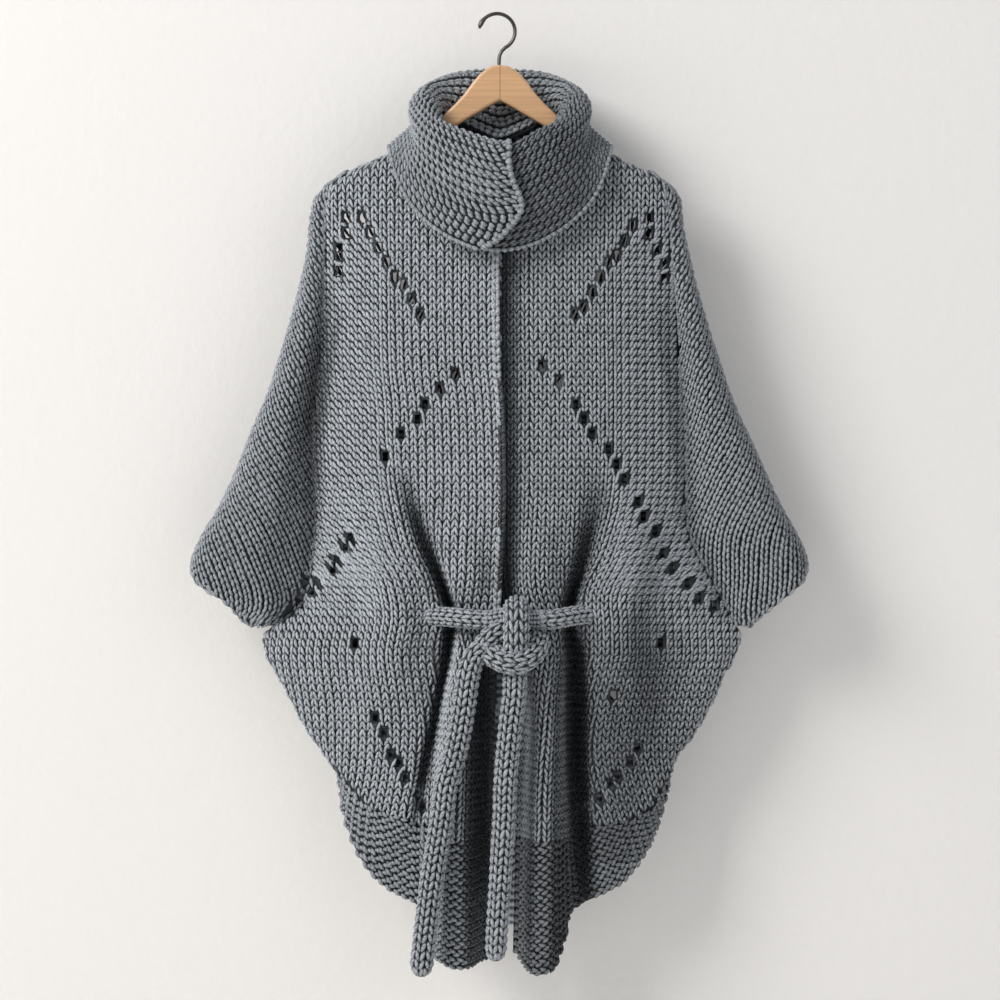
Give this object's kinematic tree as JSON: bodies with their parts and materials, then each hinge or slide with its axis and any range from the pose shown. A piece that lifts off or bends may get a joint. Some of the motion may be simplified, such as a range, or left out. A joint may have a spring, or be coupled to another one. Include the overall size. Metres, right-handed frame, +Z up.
{
  "type": "knitted poncho sweater on a wooden hanger",
  "caption": "A chunky hand-knitted poncho sweater with a wide rolled collar, lace eyelet diamonds and a knotted cord belt, hung on a wooden coat hanger",
  "frame": {"origin": "inside crest of the hanger's hook, where the hook rests on its rail or nail", "axes": "+Z up, +Y towards the garment's back, +X towards the wearer's left sleeve, which is at the right in a view of the front"},
  "size_m": [0.7339, 0.1745, 1.1374],
  "materials": {
    "knit": "matte",
    "wood": "satin",
    "hook_steel": "satin"
  },
  "bodies": {
    "root": {"front_right": "knit", "front_left": "knit", "hem_band_right": "knit", "hem_band_left": "knit", "sleeve_right_front": "knit", "sleeve_left_front": "knit", "back": "knit", "hem_band_back": "knit", "sleeve_right_back": "knit", "sleeve_left_back": "knit", "collar": "knit", "belt_waist": "knit", "belt_tail_right": "knit", "belt_tail_left": "knit", "belt_knot": "knit", "hanger_body": "wood", "hanger_hook": "hook_steel"}
  },
  "joints": []
}
